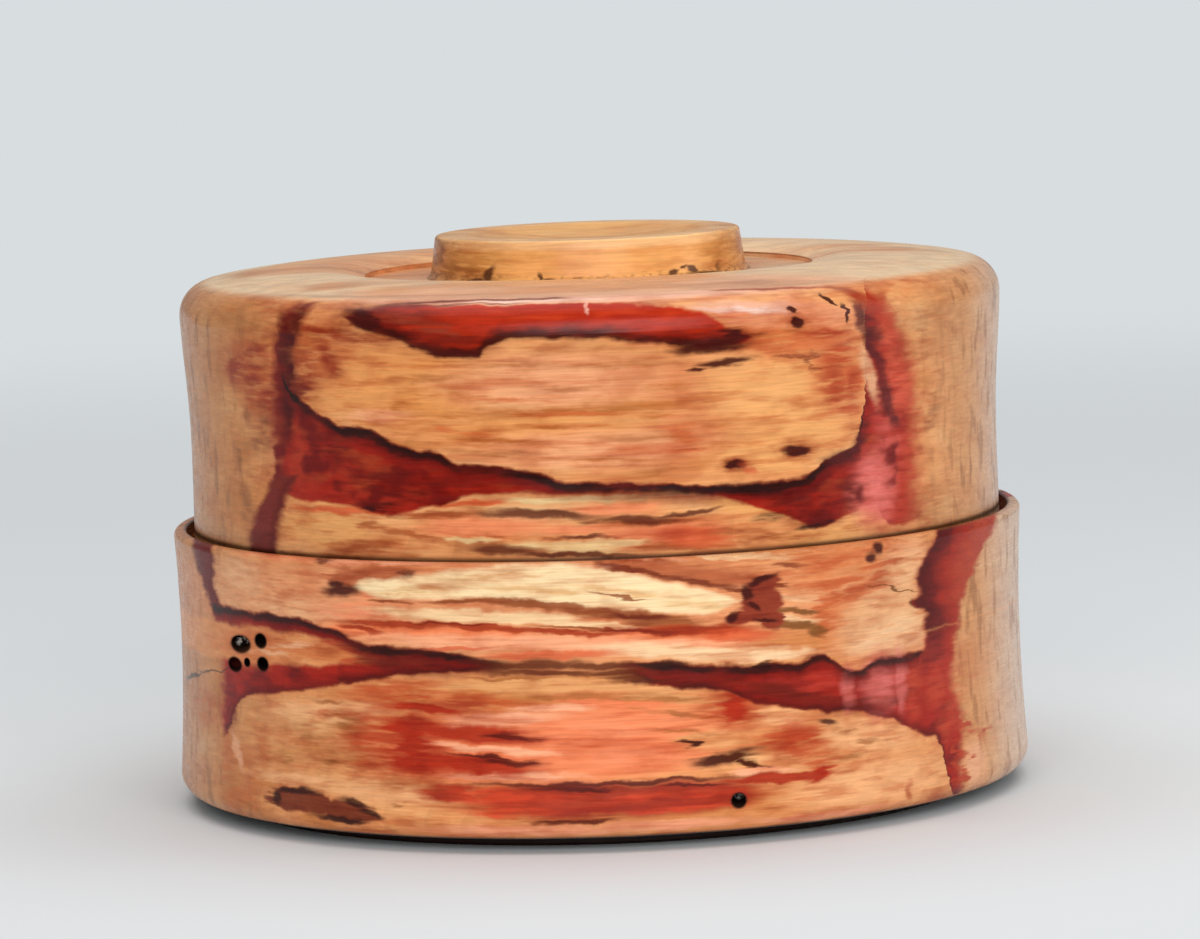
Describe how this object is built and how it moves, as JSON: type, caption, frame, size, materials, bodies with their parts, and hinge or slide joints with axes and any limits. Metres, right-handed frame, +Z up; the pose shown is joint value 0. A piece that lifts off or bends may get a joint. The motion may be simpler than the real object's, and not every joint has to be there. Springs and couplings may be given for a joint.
{
  "type": "lidded box",
  "caption": "Low round turned wooden box with a tall lift-off lid that drops into a rebate in the rim, and a dished disc knob.",
  "frame": {"origin": "centre of the foot, on the surface that the box stands on", "axes": "+Z up along the turning axis; -Y is the side seen in the picture, which has the beetle bores; +X to the viewer's right"},
  "size_m": [0.1256, 0.1256, 0.0826],
  "materials": {
    "base_wood": "satin, golden box elder with crimson flame stain and dark streaks",
    "lid_wood": "satin, golden box elder with crimson flame stain and dark streaks",
    "knob_wood": "satin, plain golden box elder"
  },
  "bodies": {
    "base": {"base": "base_wood"},
    "lid": {"lid": "lid_wood", "knob": "knob_wood"}
  },
  "joints": [
    {"name": "lid_lift", "type": "slide", "parent": "base", "child": "lid", "axis": [0, 0, 1], "range_m": [0, 0.06]}
  ]
}
